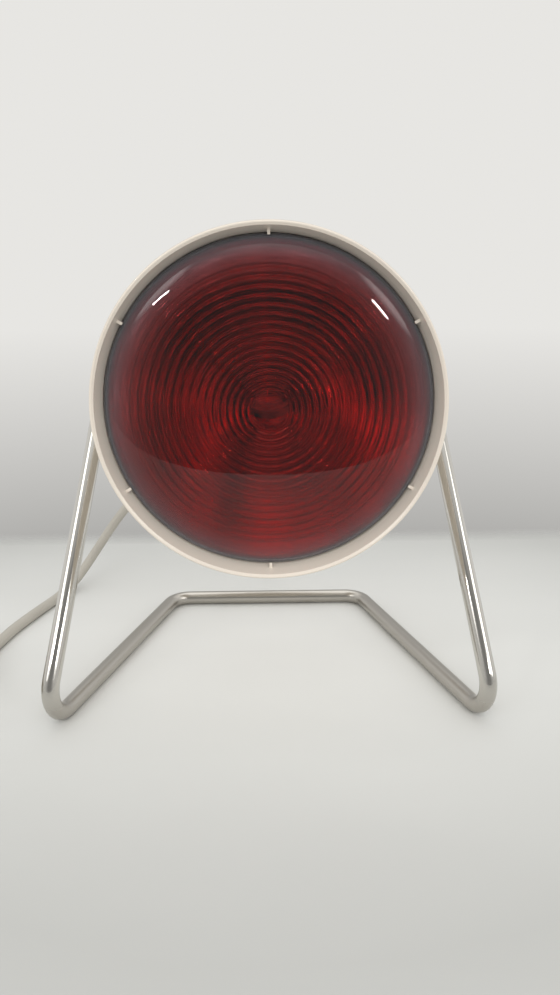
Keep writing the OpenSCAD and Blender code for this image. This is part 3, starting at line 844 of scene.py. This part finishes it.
def make_bush(side, node, name):
    """Flanged nylon bush in the boss, with a small chamfer at its bore."""
    inner = BUSH_BORE_R
    profile = [(inner, 50.2), (6.6, 50.2), (6.98, 50.8), (6.98, BOSS_OUT), (10.6, BOSS_OUT)]
    profile += arc((10.2, BOSS_OUT + 1.2), 0.8, 0, 90, 5)
    profile += [(inner + 0.9, BOSS_OUT + 2), (inner, BOSS_OUT + 1.2)]
    bush = lathe(name, points_mm(profile), segments=72, place=pivot_place(side))
    return put(bush, "head", "bush_nylon", MATERIALS["bush"], node)


make_bush(-1, "pivot_bush_left", "bush_left")
make_bush(1, "pivot_bush_right", "bush_right")

# ---------------------------------------------------------------- bulb

# Radii, heights and stations of the glass in millimetres; DOME_ROUND is the fullness of its shoulder
BULB_R, DOME_H, EQUATOR, GLASS_T = 62.5, 12.0, 9.5, 1.2
DOME_ROUND = 2.41
NECK_START, NECK_END, NECK_R, PARABOLA_END = 114.0, 146.0, 17.5, 98.0
# Fall of the squared radius for each millimetre along the parabola
PARABOLA_RATE = 38.1


def dome_station(radius, inset=0.0):
    """Station of the domed face at a radius, in millimetres."""
    share = min(1.0, radius / (BULB_R - inset))
    return EQUATOR - (DOME_H - inset) * (1 - share**2) ** (1 / DOME_ROUND)


# The moulded rings: where they start and end, their spacing far out, and their height
PLAIN_CENTRE, RIPPLE_END = 6.8, 56.0
RIPPLE_STEP, RIPPLE_H = 3.2, 0.34


def ripple(radius):
    """Height of the rings moulded in the inside of the face, in millimetres."""
    # The rings are closer together towards the middle
    extra_rings, spread = 4.0, 9.0
    turns = radius / RIPPLE_STEP + extra_rings * (1 - math.exp(-radius / spread))
    rise = eased(radius, PLAIN_CENTRE - 0.5, PLAIN_CENTRE + 1)
    fall = 1 - eased(radius, RIPPLE_END - 5, RIPPLE_END)
    return RIPPLE_H * rise * fall * (0.5 + 0.5 * math.cos(2 * math.pi * turns)) ** 2.2


def make_face():
    """Domed front of the bulb: smooth outside, and fine concentric rings inside."""
    outer_steps, inner_steps = 60, 260
    radii = [BULB_R * math.sin(math.pi / 2 * k / outer_steps) for k in range(outer_steps + 1)]
    outside = [(r, dome_station(r)) for r in radii]
    inside = []
    for k in range(inner_steps + 1):
        r = (BULB_R - GLASS_T) * math.sin(math.pi / 2 * (1 - k / inner_steps))
        inside.append((r, dome_station(r, GLASS_T) + ripple(r)))
    inside[0] = (BULB_R - GLASS_T, EQUATOR)
    face = lathe("bulb_dome", points_mm(outside + inside), segments=160, closed=False, crease=60)
    return put(face, "head", "ruby_glass", MATERIALS["ruby"], "bulb_face")


def body_radius(station):
    """Outer radius of the bulb behind its widest line, in millimetres."""
    if station <= PARABOLA_END:
        return math.sqrt(BULB_R**2 - PARABOLA_RATE * max(0.0, station - EQUATOR - 1))
    if station <= NECK_START:
        p = (station - PARABOLA_END) / (NECK_START - PARABOLA_END)
        start = body_radius(PARABOLA_END)
        return NECK_R + (start - NECK_R) * (1 - p) ** 2.2
    return NECK_R - 1.5 * (station - NECK_START) / (NECK_END - NECK_START)


def make_reflector():
    """Silvered body of the bulb, a closed thin shell."""
    steps = 110
    stations = [EQUATOR + (NECK_END - EQUATOR) * k / steps for k in range(steps + 1)]
    outer = [(body_radius(s), s) for s in stations]
    inner = [(body_radius(s) - GLASS_T, s) for s in reversed(stations)]
    body = lathe("bulb_body", points_mm(outer + inner), segments=160, crease=60)
    return put(body, "head", "silvered_glass", MATERIALS["mirror"], "bulb_reflector")


make_face()
make_reflector()

# ---------------------------------------------------------------- materials of the CAD nodes that show

NODE_MATERIALS = {
    "pivot_clips": "spring", "friction_washers": "spring",
    "rear_cover": "cream", "cover_screws": "steel",
    "bulb_cap": "brass", "bulb_cap_insulator": "black", "bulb_contact": "brass",
    "bulb_stem": "glass", "bulb_leads": "nickel_wire", "filament_supports": "nickel_wire",
    "bulb_filament": "tungsten", "lampholder_body": "porcelain", "lampholder_shell": "brass",
    "lampholder_contact": "brass", "lampholder_plate": "plate", "plate_screws": "steel",
    "holder_screws": "steel", "terminal_screws": "brass", "wire_live": "brown", "wire_neutral": "blue",
    "cord_inner": "lead", "cord_clamp": "plate", "clamp_screws": "steel", "strain_relief": "relief",
    "plug_pins": "pin", "plug_pin_sleeves": "sleeve",
}

for node, key in NODE_MATERIALS.items():
    mesh = frame["nodes"][node].data
    mesh.materials.clear()
    mesh.materials.append(MATERIALS[key])

# ---------------------------------------------------------------- floor, light and world


# The cloth's colour away from the lamp, its colour inside a painted pool of light round the lamp, and the
# reach of that pool
CLOTH_GREY, CLOTH_PAINTED_LIT = (0.515, 0.52, 0.505), (0.88, 0.885, 0.87)
PAINTED_LIGHT_POOL_REACH = 0.23


def make_floor():
    """Pale cloth-covered table that ends in a soft edge behind the lamp."""
    front, back, half = -0.44, 0.22, 0.75
    bm = bmesh.new()
    columns, steps_back = 60, 48
    rows = []
    for i in range(steps_back + 1):
        y = front + (back - front) * i / steps_back
        rows.append([bm.verts.new((-half + 2 * half * k / columns, y, 0)) for k in range(columns + 1)])
    grid_faces(bm, rows, around=False)
    floor = finish_mesh("floor", bm)
    material, tree, shader = new_material("floor_cloth", Roughness=0.85)
    where = coordinates(tree)
    # Soft streaks of tone: painted shade of the cloth's creases
    painted_crease_shade = noise(tree, coordinates(tree, (1, 2.5, 1)), 3.2, detail=3.0)
    # A painted pool of light: lightest round the lamp and greyer away from it
    around = add_node(tree, "ShaderNodeMapping", Location=(0, -0.02, 0), Scale=(0.7, 1, 0))
    tree.links.new(where, around.inputs["Vector"])
    away = add_node(tree, "ShaderNodeVectorMath", operation="LENGTH")
    tree.links.new(around.outputs["Vector"], away.inputs[0])
    painted_light_pool = spread_over(tree, away.outputs["Value"], 1, 0, start=0.0, end=PAINTED_LIGHT_POOL_REACH)
    level = summed(tree, painted_light_pool, scaled(tree, painted_crease_shade, 0.24, -0.12))
    tone = colour_between(tree, level, CLOTH_GREY, CLOTH_PAINTED_LIT)
    tree.links.new(tone, shader.inputs["Base Color"])
    bump(tree, shader, noise(tree, where, 6.0, detail=2.0), 4 * MM, 0.6)
    # The far edge fades into the wall
    place = add_node(tree, "ShaderNodeSeparateXYZ")
    tree.links.new(where, place.inputs["Vector"])
    fade = spread_over(tree, place.outputs["Y"], 1, 0, start=back - 0.035, end=back - 0.005)
    tree.links.new(fade, shader.inputs["Alpha"])
    floor.data.materials.append(material)


# Directions from the lamp to the two windows in front of it, and their radii as angles in radians
WINDOWS = ((-0.65, -0.50, 0.57), (0.72, -0.50, 0.48))
WINDOW_EDGE, WINDOW_CORE, WINDOW_LEVEL = 0.27, 0.16, 2.6
# The wall's colour low down, darkened by painted shade near the table, and its colour higher up
WALL_SHADED_LOW, WALL_HIGH = (0.42, 0.415, 0.40), (0.80, 0.79, 0.765)


def make_world():
    """Pale room: the camera sees its wall, and gloss sees it dim in front and brighter above.

    Rays that have passed through glass see it in bright and dark blotches, which the mirror and the
    rings of the bulb break up.
    """
    world = bpy.data.worlds.new("room")
    bpy.context.scene.world = world
    world.use_nodes = True
    tree = world.node_tree
    background = tree.nodes["Background"]
    direction = tree.nodes.new("ShaderNodeTexCoord").outputs["Generated"]
    parts = add_node(tree, "ShaderNodeSeparateXYZ")
    tree.links.new(direction, parts.inputs["Vector"])
    x, y, z = (parts.outputs[k] for k in "XYZ")
    sideways = add_node(tree, "ShaderNodeMath", operation="ABSOLUTE")
    tree.links.new(x, sideways.inputs[0])

    above = spread_over(tree, z, 0, 1.3, start=0.60, end=0.95)
    beside = spread_over(tree, sideways.outputs[0], 0, 0.35, start=0.30, end=0.80)
    behind = spread_over(tree, y, 0, 0.25, start=-0.45, end=0.15)
    in_front = 0.25
    gloss = scaled(tree, summed(tree, summed(tree, above, beside), behind), 1.0, in_front)
    for window in WINDOWS:
        near = closeness(tree, direction, Vector(window).normalized())
        edge, core = math.cos(WINDOW_EDGE), math.cos(WINDOW_CORE)
        gloss = summed(tree, gloss, spread_over(tree, near, 0, WINDOW_LEVEL, start=edge, end=core))

    blotches = noise(tree, direction, 5.0, detail=3.0, roughness=0.6)
    inner = spread_over(tree, blotches, 0.02, 8.0, start=0.50, end=0.80)

    soft = spread_over(tree, z, 0.62, 0.98, start=-0.6, end=0.9)

    # The wall that the camera sees, with painted shade that darkens it towards the table
    wall = colour_between(tree, spread_over(tree, z, 0, 1, start=-0.31, end=-0.05), WALL_SHADED_LOW, WALL_HIGH)
    rays = tree.nodes.new("ShaderNodeLightPath").outputs
    level = soft
    for ray, value in (("Is Glossy Ray", gloss), ("Is Transmission Ray", inner)):
        choice = add_node(tree, "ShaderNodeMix", data_type="FLOAT")
        tree.links.new(rays[ray], choice.inputs[0])
        tree.links.new(level, choice.inputs[2])
        tree.links.new(value, choice.inputs[3])
        level = choice.outputs[0]
    tint = colour_between(tree, level, (0, 0, 0), (1.0, 0.995, 0.975))
    tint.node.clamp_factor = False
    seen = add_node(tree, "ShaderNodeMix", data_type="RGBA")
    tree.links.new(rays["Is Camera Ray"], seen.inputs[0])
    tree.links.new(tint, seen.inputs[MIX_FIRST])
    tree.links.new(wall, seen.inputs[MIX_SECOND])
    tree.links.new(seen.outputs[MIX_COLOUR], background.inputs["Color"])


def area_light(name, place, aim, size, energy, colour=(1, 1, 1)):
    """Rectangular lamp at a place, turned towards aim."""
    data = bpy.data.lights.new(name, "AREA")
    data.shape = "RECTANGLE"
    data.size, data.size_y = size
    data.energy = energy
    data.color = colour
    light = bpy.data.objects.new(name, data)
    bpy.context.scene.collection.objects.link(light)
    light.location = place
    light.rotation_mode = "QUATERNION"
    light.rotation_quaternion = (Vector(place) - Vector(aim)).to_track_quat("Z", "Y")
    return light


make_floor()
make_world()
front_light = area_light("front", (0.0, -1.2, 0.95), (0, 0, 0.1), (1.2, 0.8), 6.0, (1.0, 0.99, 0.97))
front_light.visible_glossy = False
DOME = Vector((0, RIM_Y, AXIS_Z))
# Two narrow lamps that the dome mirrors as short streaks: direction from the dome, and long side
STREAKS = (
    ((-0.570, -0.681, 0.455), (0.102, -0.045, 0.059)),
    ((0.567, -0.745, 0.351), (0.071, 0.011, -0.092)),
)
STREAK_SIZE, STREAK_POWER = (0.125, 0.030), 0.6
for toward, along in STREAKS:
    out = Vector(toward).normalized()
    length = (Vector(along) - out * out.dot(Vector(along))).normalized()
    streak = area_light("streak", DOME + out, DOME, STREAK_SIZE, STREAK_POWER)
    turned = Matrix((length, out.cross(length), out)).transposed()
    streak.rotation_quaternion = turned.to_quaternion()

bpy.context.scene.view_settings.view_transform = "Standard"
